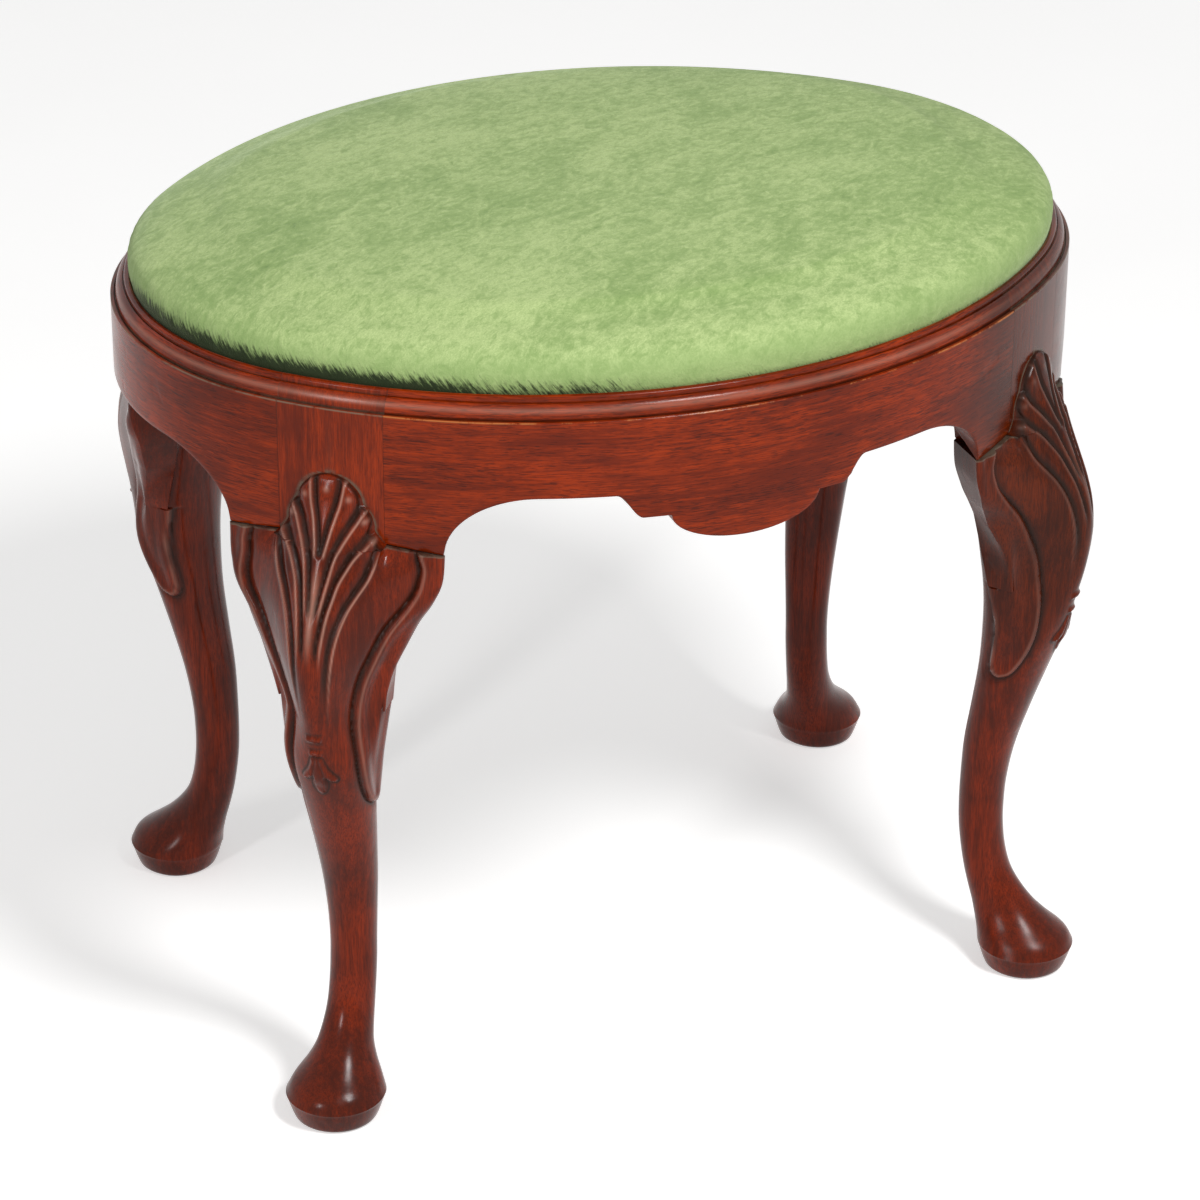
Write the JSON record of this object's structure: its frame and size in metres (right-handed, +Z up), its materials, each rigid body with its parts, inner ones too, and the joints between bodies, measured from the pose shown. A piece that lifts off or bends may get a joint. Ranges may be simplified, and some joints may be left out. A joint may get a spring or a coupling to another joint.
{
  "type": "vanity bench",
  "caption": "Oval vanity bench with an upholstered drop-in seat, bowed moulded rails and carved cabriole legs on pad feet.",
  "frame": {"origin": "on the floor under the middle of the oval frame", "axes": "+X along the oval's length, +Y towards the back, +Z up; the front long rail faces -Y"},
  "size_m": [0.56, 0.434, 0.488],
  "materials": {
    "leg_mahogany": "satin, dark red-brown, glazed in the carving",
    "rail_mahogany": "satin, red-brown with fine dark pores",
    "block_mahogany": "satin, dark red-brown",
    "dowel_beech": "bare",
    "corner_block_oak": "bare, sawn",
    "screw_brass": "satin",
    "seat_plywood": "bare plywood",
    "seat_foam": "open cells, matte",
    "seat_velvet": "crushed velvet pile, green",
    "dust_cloth": "thin matte cloth, black",
    "staple_steel": "galvanised"
  },
  "bodies": {
    "frame": {"leg_front_left": "leg_mahogany", "leg_front_right": "leg_mahogany", "leg_back_left": "leg_mahogany", "leg_back_right": "leg_mahogany", "rail_front": "rail_mahogany", "rail_back": "rail_mahogany", "rail_left": "rail_mahogany", "rail_right": "rail_mahogany", "knee_block_front_left_front": "block_mahogany", "knee_block_front_left_end": "block_mahogany", "knee_block_front_right_front": "block_mahogany", "knee_block_front_right_end": "block_mahogany", "knee_block_back_left_back": "block_mahogany", "knee_block_back_left_end": "block_mahogany", "knee_block_back_right_back": "block_mahogany", "knee_block_back_right_end": "block_mahogany", "dowels_front_left": "dowel_beech", "dowels_front_right": "dowel_beech", "dowels_back_left": "dowel_beech", "dowels_back_right": "dowel_beech", "corner_block_front_left": "corner_block_oak", "corner_block_front_right": "corner_block_oak", "corner_block_back_left": "corner_block_oak", "corner_block_back_right": "corner_block_oak", "corner_block_screws": "screw_brass"},
    "seat": {"seat_board": "seat_plywood", "seat_foam": "seat_foam", "seat_cover": "seat_velvet", "dust_cover": "dust_cloth", "dust_cover_staples": "staple_steel"}
  },
  "joints": [
    {"name": "seat_lift", "type": "slide", "parent": "frame", "child": "seat", "axis": [0, 0, 1], "range_m": [0, 0.12]}
  ]
}
